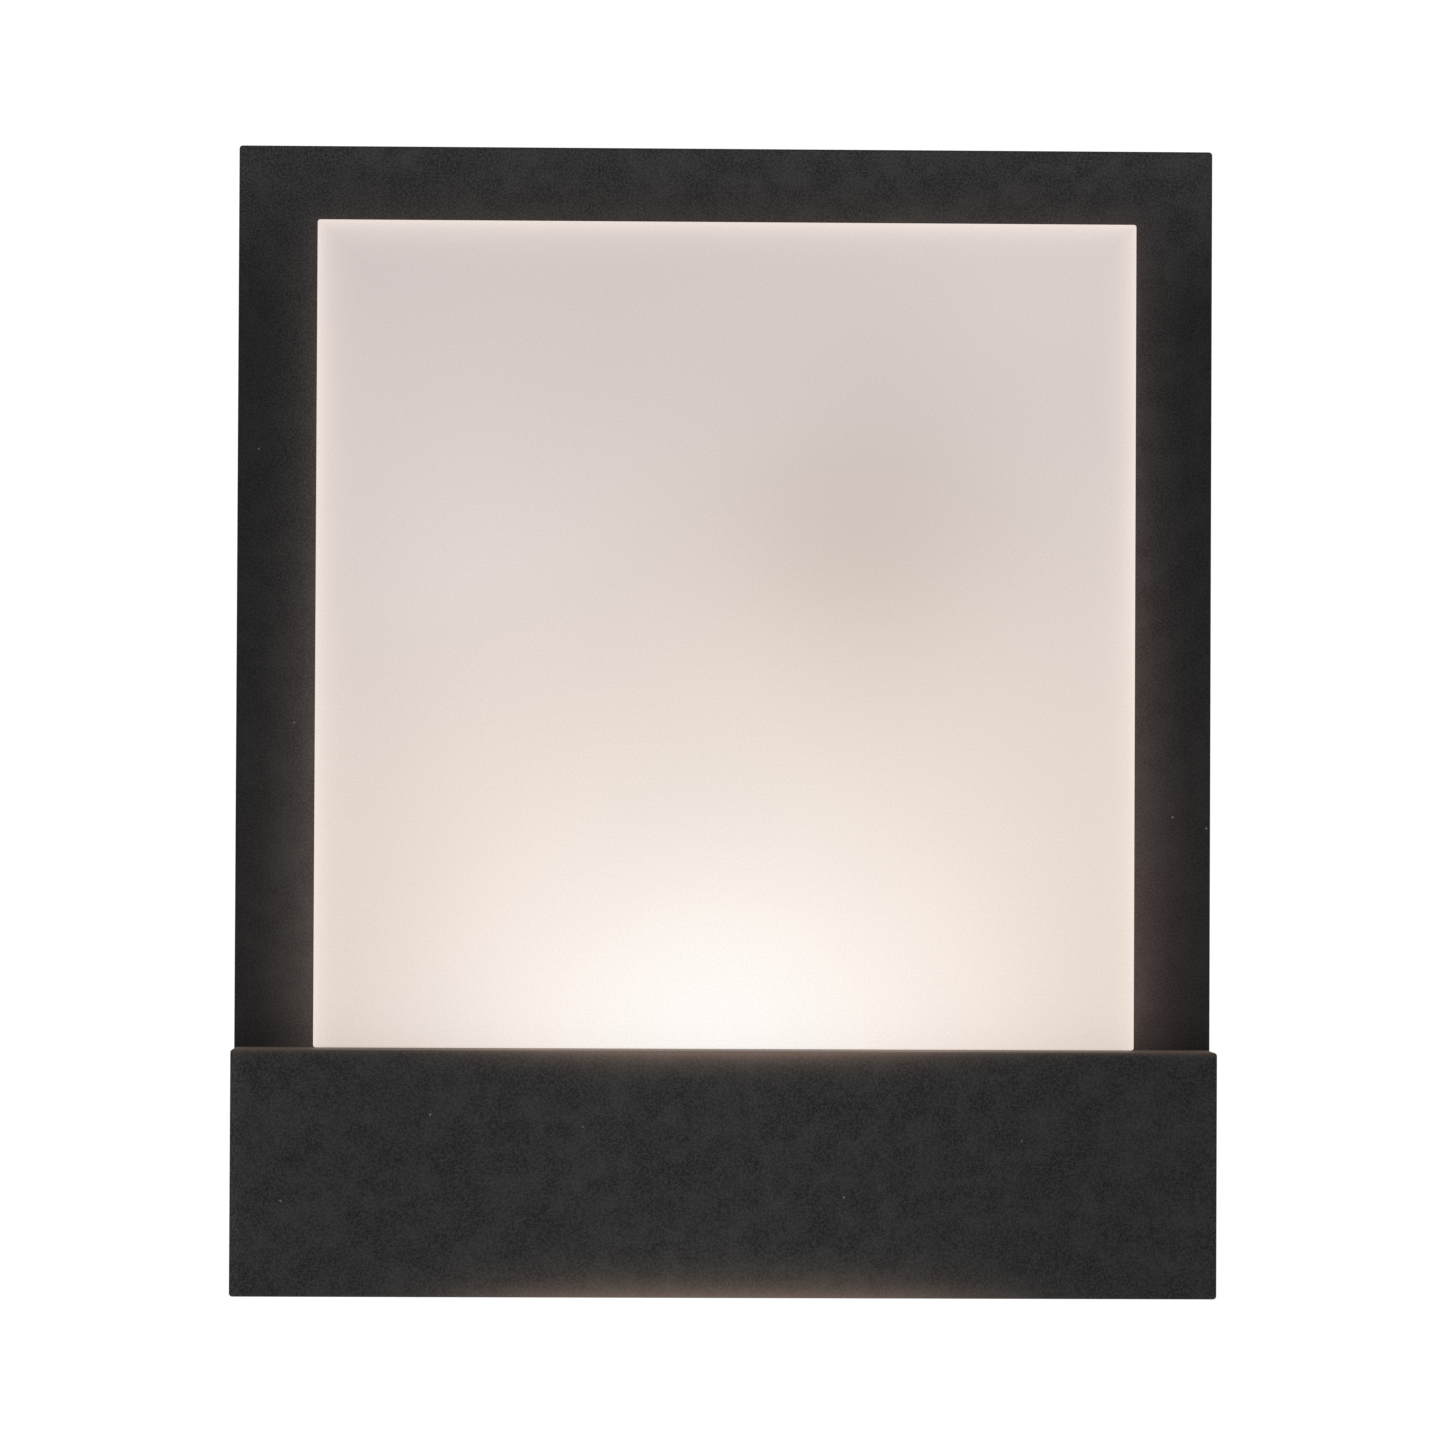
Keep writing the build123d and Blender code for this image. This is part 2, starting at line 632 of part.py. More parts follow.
# ---- die-cast frame ----
cover_points = [(sx * cover_screw_x, z) for sx in (-1, 1) for z in (box_top - 10.0, bottom + 10.0)]
clip_x = width / 2 - casting - clip_boss / 2
clip_z = top - casting - clip_boss / 2
side_clips = [(sx * clip_x, z) for sx in (-1, 1) for z in (box_top + 17.0, panel_mid, panel_top - 19.0)]
top_clips = [(-60.0, clip_z), (60.0, clip_z)]
crossbar_low = box_top - crossbar
opening_low = bottom + 7.0
with BuildPart() as frame:
    with BuildSketch(Plane.XZ.offset(skirt_gap)):
        Rectangle(width, height)
    extrude(amount=frame_face - skirt_gap)
    fillet(frame.edges().filter_by(Axis.Y), corner_r)
    fillet(frame.edges().group_by(Axis.Y)[0], edge_r)
    with BuildSketch(Plane.XZ.offset(skirt_gap)):
        Rectangle(width - 2 * casting, height - 2 * casting)
    extrude(amount=plate_back - skirt_gap, mode=Mode.SUBTRACT)
    # openings: the panel above, and the room behind the lower cover
    with BuildSketch(Plane.XZ.offset(plate_back)):
        with Locations((0, (panel_top + fit_gap + box_top) / 2)):
            Rectangle(2 * (panel_half + fit_gap), panel_top + fit_gap - box_top)
        with Locations((0, (crossbar_low + opening_low) / 2)):
            Rectangle(2 * panel_half, crossbar_low - opening_low)
        with Locations(*cover_points):
            Circle(m3_clear_r)
    extrude(amount=casting, mode=Mode.SUBTRACT)
    # seats of the panel's clips
    with BuildSketch(Plane.XZ.offset(flange_back)):
        with Locations(*side_clips, *top_clips):
            Rectangle(clip_boss, clip_boss)
    extrude(amount=plate_back - flange_back)
    with BuildSketch(Plane.XZ.offset(flange_back)):
        with Locations(*side_clips, *top_clips):
            Circle(m3_hole_r)
    extrude(amount=5.0, mode=Mode.SUBTRACT)
    # bosses for the two fixing screws in the bottom wall, with sunk heads
    with BuildSketch(Plane.XY.offset(bottom + casting)):
        with Locations(*[(x, -d) for x, d in fixing_points]):
            Circle(fixing_boss_r)
    extrude(amount=tab_low - bottom - casting)
    with BuildSketch(Plane.XY.offset(bottom)):
        with Locations(*[(x, -d) for x, d in fixing_points]):
            Circle(m4_head_r + fit_gap)
    extrude(amount=casting, mode=Mode.SUBTRACT)
    with BuildSketch(Plane.XY.offset(bottom)):
        with Locations(*[(x, -d) for x, d in fixing_points]):
            Circle(m4_clear_r)
        with Locations((0, -lens_depth)):
            Rectangle(lens_length + 2 * fit_gap, lens_width + 2 * fit_gap)
    extrude(amount=tab_low - bottom, mode=Mode.SUBTRACT)
keep(frame, "frame")

# ---- lower cover ----
with BuildPart() as lower_cover:
    with BuildSketch(Plane.XZ.offset(frame_face)):
        with Locations((0, lower_mid)):
            Rectangle(width, box_height)
    extrude(amount=box_proud)
    fillet(lower_cover.edges().filter_by(Axis.Y), corner_r)
    fillet(lower_cover.edges().group_by(Axis.Y)[0], edge_r)
    with BuildSketch(Plane.XZ.offset(frame_face)):
        with Locations((0, lower_mid)):
            Rectangle(width - 2 * casting, box_height - 2 * casting)
    extrude(amount=box_proud - casting, mode=Mode.SUBTRACT)
    with BuildSketch(Plane.XZ.offset(frame_face)):
        with Locations(*cover_points):
            Circle(cover_boss_r)
    extrude(amount=box_proud - casting)
    with BuildSketch(Plane.XZ.offset(frame_face)):
        with Locations(*cover_points):
            Circle(m3_hole_r)
    extrude(amount=9.0, mode=Mode.SUBTRACT)
keep(lower_cover, "lower_cover")
screws("cover_screws", seats(cover_points, plate_back, 1), casting + 8.0, 2.8, 1.8, m3_r)

# ---- opal light panel and its seal ----
panel_h = panel_top - panel_low
with BuildPart() as light_panel:
    with BuildSketch(Plane.XZ.offset(flange_back)):
        with Locations((0, panel_mid)):
            RectangleRounded(2 * panel_half, panel_h, panel_edge_r)
    extrude(amount=panel_face - flange_back)
    fillet(light_panel.edges().group_by(Axis.Y)[0], panel_edge_r * 0.9)
    with BuildSketch(Plane.XZ.offset(flange_back)):
        with Locations((0, panel_mid)):
            Rectangle(2 * (panel_half + flange), panel_h + 2 * flange)
    extrude(amount=acrylic)
    with BuildSketch(Plane.XZ.offset(flange_back)):
        with Locations((0, panel_mid)):
            RectangleRounded(2 * (panel_half - acrylic), panel_h - 2 * acrylic, panel_edge_r)
    extrude(amount=panel_face - acrylic - flange_back, mode=Mode.SUBTRACT)
keep(light_panel, "light_panel")

with BuildPart() as panel_gasket:
    with BuildSketch(Plane.XZ.offset(flange_front)):
        with Locations((0, panel_mid)):
            Rectangle(2 * (panel_half + flange), panel_h + 2 * flange)
            Rectangle(2 * (panel_half + 1.0), panel_h + 2.0, mode=Mode.SUBTRACT)
    extrude(amount=panel_seal)
keep(panel_gasket, "panel_gasket")

# ---- clips that hold the panel's flange ----
clip_shift = (clip_length - clip_boss) / 2 + 0.7
with BuildPart() as panel_clips:
    with BuildSketch(Plane.XZ.offset(flange_back - clip_sheet)):
        for x, z in side_clips:
            with Locations((x - clip_shift * (1 if x > 0 else -1), z)):
                Rectangle(clip_length, clip_boss)
        for x, z in top_clips:
            with Locations((x, z - clip_shift)):
                Rectangle(clip_boss, clip_length)
        with Locations(*side_clips, *top_clips):
            Circle(m3_clear_r, mode=Mode.SUBTRACT)
    extrude(amount=clip_sheet)
keep(panel_clips, "panel_clips")
clip_seats = seats(side_clips + top_clips, flange_back - clip_sheet, 1)
screws("panel_clip_screws", clip_seats, clip_sheet + 4.5, 2.4, 1.6, m3_r)

# ---- down light: lens bonded in by its seal ----
lens_seat = bottom + casting + lens_seal
with BuildPart() as down_lens:
    with BuildSketch(Plane.XY.offset(bottom)):
        with Locations((0, -lens_depth)):
            RectangleRounded(lens_length, lens_width, 1.0)
    extrude(amount=lens_seat - bottom)
    chamfer(down_lens.edges().group_by(Axis.Z)[0], 0.5)
    with BuildSketch(Plane.XY.offset(lens_seat)):
        with Locations((0, -lens_depth)):
            Rectangle(lens_length + 2 * lens_flange, lens_width + 2 * lens_flange)
    extrude(amount=lens_flange_thickness)
    with BuildSketch(Plane.XY.offset(bottom + acrylic)):
        with Locations((0, -lens_depth)):
            Rectangle(lens_length - 2 * acrylic, lens_width - 2 * acrylic)
    extrude(amount=lens_seat + lens_flange_thickness - bottom - acrylic, mode=Mode.SUBTRACT)
keep(down_lens, "down_lens")

with BuildPart() as lens_gasket:
    with BuildSketch(Plane.XY.offset(bottom + casting)):
        with Locations((0, -lens_depth)):
            Rectangle(lens_length + 2 * lens_flange, lens_width + 2 * lens_flange)
            Rectangle(lens_length + 1.0, lens_width + 1.0, mode=Mode.SUBTRACT)
    extrude(amount=lens_seal)
keep(lens_gasket, "lens_gasket")

# ---- screws and nuts that clamp the front to the rear housing's tabs ----
fixing_seats = [Plane(origin=(x, -d, bottom + casting), z_dir=(0, 0, -1)) for x, d in fixing_points]
nut_low = tab_low + casting
screws(
    "fixing_screws", fixing_seats, nut_low + nut_height + 0.8 - bottom - casting, m4_head_r, m4_head, m4_r
)
with BuildPart() as fixing_nuts:
    with BuildSketch(Plane.XY.offset(nut_low)):
        with Locations(*[(x, -d) for x, d in fixing_points]):
            RegularPolygon(nut_r, 6)
            Circle(m4_r + 0.05, mode=Mode.SUBTRACT)
    extrude(amount=nut_height)
keep(fixing_nuts, "fixing_nuts")

os.makedirs("parts", exist_ok=True)
for part in parts:
    export_step(part, f"parts/{part.label}.step")
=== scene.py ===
"""Looks of the outdoor wall lantern: camera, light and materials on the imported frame."""

import math

import bpy
from mathutils import Matrix, Vector


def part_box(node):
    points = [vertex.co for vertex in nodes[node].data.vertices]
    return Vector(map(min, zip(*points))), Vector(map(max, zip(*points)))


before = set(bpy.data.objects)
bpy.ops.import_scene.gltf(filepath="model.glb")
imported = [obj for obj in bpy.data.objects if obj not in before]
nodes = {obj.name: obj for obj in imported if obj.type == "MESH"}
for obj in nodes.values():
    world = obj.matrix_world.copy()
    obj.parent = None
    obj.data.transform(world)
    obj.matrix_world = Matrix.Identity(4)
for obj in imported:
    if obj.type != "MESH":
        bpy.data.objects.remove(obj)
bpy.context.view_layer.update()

# Places in metres: x to the right, z up, and y is 0 at the wall and negative toward the front.
frame_low, frame_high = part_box("frame")
cover_low, cover_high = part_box("lower_cover")
side_bar, top_bar = 0.019, 0.0185
panel_half = frame_high[0] - side_bar
panel_top = frame_high[2] - top_bar
panel_foot = cover_high[2]
frame_face = frame_low[1]
panel_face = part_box("light_panel")[0][1]
floor_level = -1.6
floor_radius = 3.0


# ---- camera, world and light ---------------------------------------------------------------
def aim(place, yaw, pitch, roll):
    """Camera matrix: looks along +Y, turned by yaw and pitch, then rolled, in degrees."""
    yaw, pitch, roll = (math.radians(a) for a in (yaw, pitch, roll))
    ahead = Vector((math.sin(yaw) * math.cos(pitch), math.cos(yaw) * math.cos(pitch), math.sin(pitch)))
    right = ahead.cross(Vector((0, 0, 1))).normalized()
    up = right.cross(ahead)
    right, up = (
        math.cos(roll) * right + math.sin(roll) * up,
        math.cos(roll) * up - math.sin(roll) * right,
    )
    turned = Matrix((right, up, -ahead)).transposed().to_4x4()
    return Matrix.Translation(place) @ turned


# The camera's place, angles and lens were fitted to the lantern's edges in the photograph.
scene = bpy.context.scene
cam = bpy.data.objects.new("camera", bpy.data.cameras.new("camera"))
scene.collection.objects.link(cam)
cam.data.sensor_width = 36
cam.data.lens = 162.3
cam.data.clip_start, cam.data.clip_end = 0.05, 50
cam.matrix_world = aim((-0.0376, -1.6, -0.0293), yaw=1.387, pitch=1.069, roll=0.264)
scene.camera = cam
scene.view_settings.view_transform = "Standard"
scene.view_settings.look = "None"

world = bpy.data.worlds.new("studio")
scene.world = world
world.use_nodes = True
studio = world.node_tree
studio.nodes.clear()


def backdrop(colour, strength):
    """One even colour all round."""
    node = studio.nodes.new("ShaderNodeBackground")
    node.inputs["Color"].default_value = (*colour, 1)
    node.inputs["Strength"].default_value = strength
    return node


# The camera sees a white backdrop, and the lantern is lit by a dimmer one.
seen = backdrop((1, 1, 1), 1.05)
fill = backdrop((0.97, 0.985, 1.0), 0.42)
path = studio.nodes.new("ShaderNodeLightPath")
pick = studio.nodes.new("ShaderNodeMixShader")
world_out = studio.nodes.new("ShaderNodeOutputWorld")
studio.links.new(path.outputs["Is Camera Ray"], pick.inputs[0])
studio.links.new(fill.outputs[0], pick.inputs[1])
studio.links.new(seen.outputs[0], pick.inputs[2])
studio.links.new(pick.outputs[0], world_out.inputs[0])


def soft_light(name, place, size, power):
    """A round area light that faces the lantern."""
    light = bpy.data.lights.new(name, "AREA")
    light.shape = "DISK"
    light.size = size
    light.energy = power
    lamp = bpy.data.objects.new(name, light)
    toward = (-Vector(place)).to_track_quat("-Z", "Y").to_matrix().to_4x4()
    lamp.matrix_world = Matrix.Translation(place) @ toward
    scene.collection.objects.link(lamp)


soft_light("key", (-1.2, -1.6, 1.9), 1.6, 9)
soft_light("side", (1.8, -0.7, 0.5), 1.4, 4)

bpy.ops.mesh.primitive_circle_add(
    vertices=96, radius=floor_radius, fill_type="NGON", location=(0, 0, floor_level)
)
floor = bpy.context.object
floor.name = "floor"


# ---- node helpers --------------------------------------------------------------------------
class Tree:
    """A material's node tree with short ways to add maths and noise, in metres."""

    def __init__(self, name):
        self.mat = bpy.data.materials.new(name)
        self.mat.use_nodes = True
        self.tree = self.mat.node_tree
        self.bsdf = self.tree.nodes["Principled BSDF"]
        self.place = self.new("ShaderNodeTexCoord").outputs["Object"]
        self.xyz = None

    def new(self, kind):
        return self.tree.nodes.new(kind)

    def put(self, value, socket):
        if hasattr(value, "is_output"):
            self.tree.links.new(value, socket)
        else:
            socket.default_value = value

    def math(self, op, a, b=0.0, c=0.0):
        node = self.new("ShaderNodeMath")
        node.operation = op
        for value, socket in zip((a, b, c), node.inputs):
            self.put(value, socket)
        return node.outputs[0]

    def axis(self, i):
        if self.xyz is None:
            self.xyz = self.new("ShaderNodeSeparateXYZ")
            self.tree.links.new(self.place, self.xyz.inputs[0])
        return self.xyz.outputs[i]

    def stretched(self, scale):
        node = self.new("ShaderNodeMapping")
        self.tree.links.new(self.place, node.inputs["Vector"])
        node.inputs["Scale"].default_value = scale
        return node.outputs[0]

    def noise(self, size, detail=3.0, rough=0.55, vector=None):
        """Noise from 0 to 1 with blobs about `size` metres across."""
        node = self.new("ShaderNodeTexNoise")
        self.tree.links.new(vector or self.place, node.inputs["Vector"])
        node.inputs["Scale"].default_value = 1.0 / size
        node.inputs["Detail"].default_value = detail
        node.inputs["Roughness"].default_value = rough
        return node.outputs["Fac"]

    def cells(self, size):
        node = self.new("ShaderNodeTexVoronoi")
        self.tree.links.new(self.place, node.inputs["Vector"])
        node.inputs["Scale"].default_value = 1.0 / size
        return node.outputs["Distance"]

    def remap(self, value, low, high, to_low=0.0, to_high=1.0, smooth=False):
        node = self.new("ShaderNodeMapRange")
        if smooth:
            node.interpolation_type = "SMOOTHSTEP"
        self.put(value, node.inputs["Value"])
        for key, v in zip(("From Min", "From Max", "To Min", "To Max"), (low, high, to_low, to_high)):
            node.inputs[key].default_value = v
        return node.outputs[0]

    def mix(self, factor, a, b):
        """Mixes two colours, each a socket or an (r, g, b) tuple."""
        node = self.new("ShaderNodeMix")
        node.data_type = "RGBA"
        self.put(factor, node.inputs["Factor"])
        for value, key in ((a, "A"), (b, "B")):
            socket = [s for s in node.inputs if s.name == key and s.type == "RGBA"][0]
            self.put((*value, 1) if isinstance(value, tuple) else value, socket)
        return [s for s in node.outputs if s.type == "RGBA"][0]

    def add(self, colour, amount, light):
        """colour + amount * light."""
        node = self.new("ShaderNodeVectorMath")
        node.operation = "MULTIPLY_ADD"
        self.put(amount, node.inputs[0])
        self.put(light, node.inputs[1])
        self.put(colour, node.inputs[2])
        return node.outputs[0]

    def bump(self, height, distance, strength=1.0):
        node = self.new("ShaderNodeBump")
        node.inputs["Strength"].default_value = strength
        node.inputs["Distance"].default_value = distance
        self.put(height, node.inputs["Height"])
        self.tree.links.new(node.outputs[0], self.bsdf.inputs["Normal"])

    def times(self, first, *others):
        """The product of all the values."""
        for value in others:
            first = self.math("MULTIPLY", first, value)
        return first

    def past(self, i, edge):
        """How far the coordinate is past an edge."""
        return self.math("SUBTRACT", self.axis(i), edge)

    def fade(self, distance, reach):
        """exp(-distance / reach)."""
        return self.math("EXPONENT", self.math("DIVIDE", distance, self.times(-1.0, reach)))

    def hill(self, *across):
        """exp(-d^2), where each of `across` is an (axis, centre, size) that adds to d^2."""
        total = 0.0
        for i, centre, size in across:
            d = self.math("DIVIDE", self.past(i, centre), size)
            total = self.math("MULTIPLY_ADD", d, d, total)
        return self.fade(total, 1.0)


def finish_on(mat, *names):
    """Gives the material to each CAD node named."""
    for name in names:
        solid = nodes[name]
        solid.data.materials.clear()
        solid.data.materials.append(mat)


# ---- powder coat ---------------------------------------------------------------------------
def coat(name, base, light, grain, depth, rough, shade=None):
    """Fine-textured black powder coat: small round grains, faint mottling, paler on worn edges.

    `shade` gives painted light and shade, a factor for the colour by place, and brings a few specks of
    pale dust.
    """
    k = Tree(name)
    speck = k.noise(grain, 2.0, 0.6)
    coarse = k.noise(grain * 3.1, 2.0)
    cloud = k.noise(0.03, 3.0)
    tone = k.math("MULTIPLY_ADD", k.remap(speck, 0.42, 0.6), 0.96, k.times(cloud, 0.04))
    edge = k.new("ShaderNodeNewGeometry").outputs["Pointiness"]
    worn = k.times(k.remap(edge, 0.515, 0.58), k.remap(k.noise(0.006), 0.4, 0.7, 0.15, 1.0), 0.35)
    colour = k.mix(worn, k.mix(tone, base, light), (0.07, 0.068, 0.065))
    if shade:
        # Painted light and shade: the coat's colour is scaled by place.
        colour = k.add((0, 0, 0), shade(k), colour)
        dust = k.remap(k.cells(0.011), 0.016, 0.026, 0.7, 0.0)
        colour = k.mix(dust, colour, (0.3, 0.3, 0.3))
    k.put(colour, k.bsdf.inputs["Base Color"])
    k.put(k.remap(coarse, 0.3, 0.7, rough - 0.05, rough + 0.07), k.bsdf.inputs["Roughness"])
    k.bsdf.inputs["Specular IOR Level"].default_value = 0.25
    k.bump(k.math("ADD", speck, k.times(coarse, 0.35)), depth)
    return k


def frame_painted_shade(k):
    """Painted light and shade on the frame's front: the side bars are painted darker toward the outside
    and slightly toward the right, and the top bar is painted paler toward the top.
    """
    # Painted shade: the side bars darker toward the outside and toward the right.
    outward = k.remap(k.math("ABSOLUTE", k.axis(0)), panel_half + 0.002, panel_half + 0.013, 0.95, 0.5)
    bars = k.times(outward, k.remap(k.axis(0), -panel_half, panel_half, 1.0, 0.9))
    # Painted light: the top bar paler toward the top.
    upper = k.remap(k.axis(2), 0.095, 0.12, smooth=True)
    top = k.remap(k.axis(2), panel_top + 0.0005, frame_high[2] - 0.002, 0.9, 1.32)
    face = k.math("ADD", k.times(upper, top), k.times(k.math("SUBTRACT", 1.0, upper), bars))
    front = k.remap(k.axis(1), frame_face + 0.0005, frame_face + 0.003, 1.0, 0.0)
    return k.math("MULTIPLY_ADD", k.math("SUBTRACT", face, 0.8), front, 0.8)


def cover_painted_light(k):
    """Painted light and shade on the lower cover: painted darker toward the right, painted paler in the
    middle, and a painted highlight at its left end.
    """
    # Painted shade: darker toward the right.
    slope = k.remap(k.axis(0), cover_low[0], cover_high[0], 1.0, 0.84)
    # Painted light: paler in the middle.
    middle = k.times(k.hill((0, 0.0, 0.07)), 0.2)
    # Painted highlight on the left end.
    end = k.remap(k.axis(0), cover_low[0] + 0.0002, cover_low[0] + 0.003, 0.45, 0.0)
    return k.math("ADD", slope, k.math("ADD", middle, end))


def glow_on(k, amount, light):
    """Adds painted light that spills onto a coat, as emission."""
    k.put(k.mix(amount, (0, 0, 0), light), k.bsdf.inputs["Emission Color"])
    k.bsdf.inputs["Emission Strength"].default_value = 1.0


def spill(k, distance, reach, spread, power):
    """A mask for painted light: falls off away from an edge, flat across the middle and gone toward the
    ends.
    """
    across = k.math("ABSOLUTE", k.math("DIVIDE", k.axis(0), spread))
    return k.times(k.fade(distance, reach), k.fade(k.math("POWER", across, power), 1.0))


black, pale = (0.0092, 0.0091, 0.0092), (0.0415, 0.0412, 0.042)
dark_grey, grey = (0.012, 0.012, 0.012), (0.028, 0.028, 0.028)
front = {"grain": 0.00046, "depth": 0.00006, "rough": 0.6}
coat_frame = coat("black_powder_coat", black, pale, **front, shade=frame_painted_shade)
coat_rear = coat("rear_powder_coat", dark_grey, grey, grain=0.0003, depth=0.00003, rough=0.5)
coat_cover = coat("cover_powder_coat", black, pale, **front, shade=cover_painted_light)
finish_on(coat_frame.mat, "frame")
finish_on(coat_rear.mat, "rear_housing")
finish_on(coat_cover.mat, "lower_cover")

# Painted light: the light from the panel's flanks that washes the bars around it, most of it low down, is
# painted on as emission.
k = coat_frame
beside = k.math("MAXIMUM", k.math("SUBTRACT", k.math("ABSOLUTE", k.axis(0)), panel_half), 0.0)
over = k.math("MAXIMUM", k.past(2, panel_top), 0.0)
away = k.math("SQRT", k.math("MULTIPLY_ADD", beside, beside, k.times(over, over)))
painted_wash = k.times(
    k.fade(away, k.remap(k.axis(2), 0.06, -0.03, 0.003, 0.0068)),
    k.remap(k.axis(2), 0.11, -0.05, 0.5, 1.0),
    k.remap(k.axis(2), panel_foot, panel_foot + 0.0095, 0.55, 1.0),
    k.remap(k.axis(1), frame_face - 0.0002, frame_face + 0.001, 1.0, 0.0),
)
# The painted light is redder toward the right.
left_to_right = k.remap(k.axis(0), -panel_half, panel_half)
glow_on(k, painted_wash, k.mix(left_to_right, (0.054, 0.0385, 0.0335), (0.064, 0.0385, 0.034)))

# Painted light: the light from the panel and from the down light that spills over the lower cover's edges
# is painted on as emission, with a painted highlight along the top edge.
k = coat_cover
from_top = k.math("SUBTRACT", cover_high[2], k.axis(2))
spill_top = k.times(spill(k, from_top, 0.0022, 0.052, 2.6), 1.2)
spill_low = spill(k, k.past(2, cover_low[2]), 0.0032, 0.058, 3.4)
# Painted highlight along the cover's top edge.
ledge_highlight = k.times(k.fade(from_top, 0.0005), 0.4)
glow_on(k, k.math("ADD", spill_top, k.math("ADD", ledge_highlight, spill_low)), (0.13, 0.088, 0.066))


# ---- opal light panel ----------------------------------------------------------------------
k = Tree("opal_acrylic_lit")


def pool(lit, x, z, wide, tall, light):
    """Adds a soft oval pool of light to the panel's glow."""
    return k.add(lit, k.hill((0, x, wide), (2, z, tall)), light)


# The pools were fitted to the photographed glow, and most of their values then rounded.
lit = k.mix(k.remap(k.axis(2), panel_foot, panel_top), (0.390, 0.325, 0.305), (0.462, 0.410, 0.402))
lit = pool(lit, 0.013, -0.050, 0.16, 0.116, (0.29, 0.26, 0.20))  # broad rise toward the foot
lit = pool(lit, -0.003, -0.078, 0.06, 0.046, (0.20, 0.26, 0.305))  # bright foot over the LEDs
for x in (-0.051, 0.055):
    lit = pool(lit, x, -0.060, 0.03, 0.045, (0.055, 0.038, 0.028))  # shoulders of the foot
lit = pool(lit, -0.060, 0.040, 0.035, 0.035, (0.025, 0.026, 0.035))  # pale patch at the left
lit = pool(lit, 0.080, 0.108, 0.04, 0.03, (0.035, 0.03, 0.028))  # pale top right corner
lit = pool(lit, 0.032, 0.043, 0.034, 0.034, (-0.1, -0.1, -0.1))  # painted shadow: a grey patch

side = k.math("SUBTRACT", panel_half, k.math("ABSOLUTE", k.axis(0)))
to_edge = k.math("MINIMUM", side, k.math("SUBTRACT", panel_top, k.axis(2)))
lit = k.mix(k.times(k.fade(to_edge, 0.0029), 0.85), lit, (0.78, 0.67, 0.61))
drift = k.remap(k.noise(0.09, 2.0), 0.3, 0.7, 0.975, 1.02)
grain = k.remap(k.noise(0.0005, 2.0), 0.35, 0.65, 0.955, 1.03)
on_flank = k.remap(k.axis(1), panel_face + 0.0003, panel_face + 0.0015)
flank = k.times(on_flank, k.remap(k.axis(2), -0.07, 0.08, 0.28, 0.12))
k.put(lit, k.bsdf.inputs["Emission Color"])
k.put(k.times(drift, grain, k.math("ADD", flank, 1.0)), k.bsdf.inputs["Emission Strength"])
k.bsdf.inputs["Base Color"].default_value = (0.26, 0.24, 0.23, 1)
k.put(k.remap(k.noise(0.02), 0.3, 0.7, 0.42, 0.56), k.bsdf.inputs["Roughness"])
k.bsdf.inputs["Specular IOR Level"].default_value = 0.35

# A small round mark on the face, and the fine grain of the acrylic.
mark_x, mark_z, mark_r = 0.0438, 0.0141, 0.0011
across, up = (k.math("DIVIDE", k.past(i, centre), mark_r) for i, centre in ((0, mark_x), (2, mark_z)))
from_mark = k.math("SQRT", k.math("MULTIPLY_ADD", across, across, k.times(up, up)))
ripple = k.remap(from_mark, 0.55, 1.0, 1.0, 0.0, smooth=True)
k.bump(k.math("ADD", k.noise(0.0007, 2.0), k.times(ripple, 1.5)), 0.00006)
finish_on(k.mat, "light_panel")

k = Tree("opal_lens_lit")
spread = k.hill((0, 0.0, 0.034), (1, -0.046, 0.02))
frost = k.remap(k.noise(0.0008), 0.3, 0.7, 0.96, 1.04)
k.put(k.mix(spread, (0.9, 0.74, 0.6), (1.0, 0.93, 0.82)), k.bsdf.inputs["Emission Color"])
k.put(k.times(frost, k.remap(spread, 0, 1, 0.72, 1.25)), k.bsdf.inputs["Emission Strength"])
k.bsdf.inputs["Base Color"].default_value = (0.6, 0.57, 0.53, 1)
k.put(k.remap(k.noise(0.01), 0.3, 0.7, 0.35, 0.5), k.bsdf.inputs["Roughness"])
k.bump(k.noise(0.0008, 2.0), 0.00004)
finish_on(k.mat, "down_lens")


# ---- everything inside and behind ----------------------------------------------------------
def plain(name, dark, light, rough, size=0.0006, depth=0.00003, metal=0.0, stretch=None, mottling=0.012):
    """A moulded, sheet or turned surface: fine grain, slow mottling, uneven gloss."""
    k = Tree(name)
    vector = k.stretched(stretch) if stretch else None
    fine = k.noise(size, 3.0, 0.6, vector)
    slow = k.noise(mottling, 3.0)
    tone = k.math("MULTIPLY_ADD", fine, 0.45, k.times(slow, 0.55))
    k.put(k.mix(k.remap(tone, 0.3, 0.7), dark, light), k.bsdf.inputs["Base Color"])
    k.put(k.remap(slow, 0.3, 0.7, rough - 0.07, rough + 0.08), k.bsdf.inputs["Roughness"])
    k.bsdf.inputs["Metallic"].default_value = metal
    k.bump(fine, depth)
    return k.mat


finish_on(
    plain("white_polycarbonate", (0.74, 0.74, 0.72), (0.86, 0.86, 0.85), 0.5),
    "reflector_tray",
)
finish_on(
    plain("nylon", (0.66, 0.66, 0.63), (0.8, 0.8, 0.77), 0.45),
    "reflector_rivets", "led_connectors",
)
brushed = (0.04, 1, 1)
finish_on(
    plain("bent_aluminium", (0.5, 0.5, 0.51), (0.74, 0.74, 0.75), 0.34, 0.0005, 0.00002, 1.0, brushed),
    "led_bracket", "fixing_tabs",
)
finish_on(
    plain("stainless_steel", (0.42, 0.42, 0.42), (0.64, 0.63, 0.62), 0.3, 0.0003, 0.00001, 1.0),
    "bracket_screws", "driver_screws", "terminal_screws", "cover_screws", "board_screws",
    "panel_clips", "panel_clip_screws", "fixing_screws", "fixing_nuts", "standoffs", "tab_rivets",
)
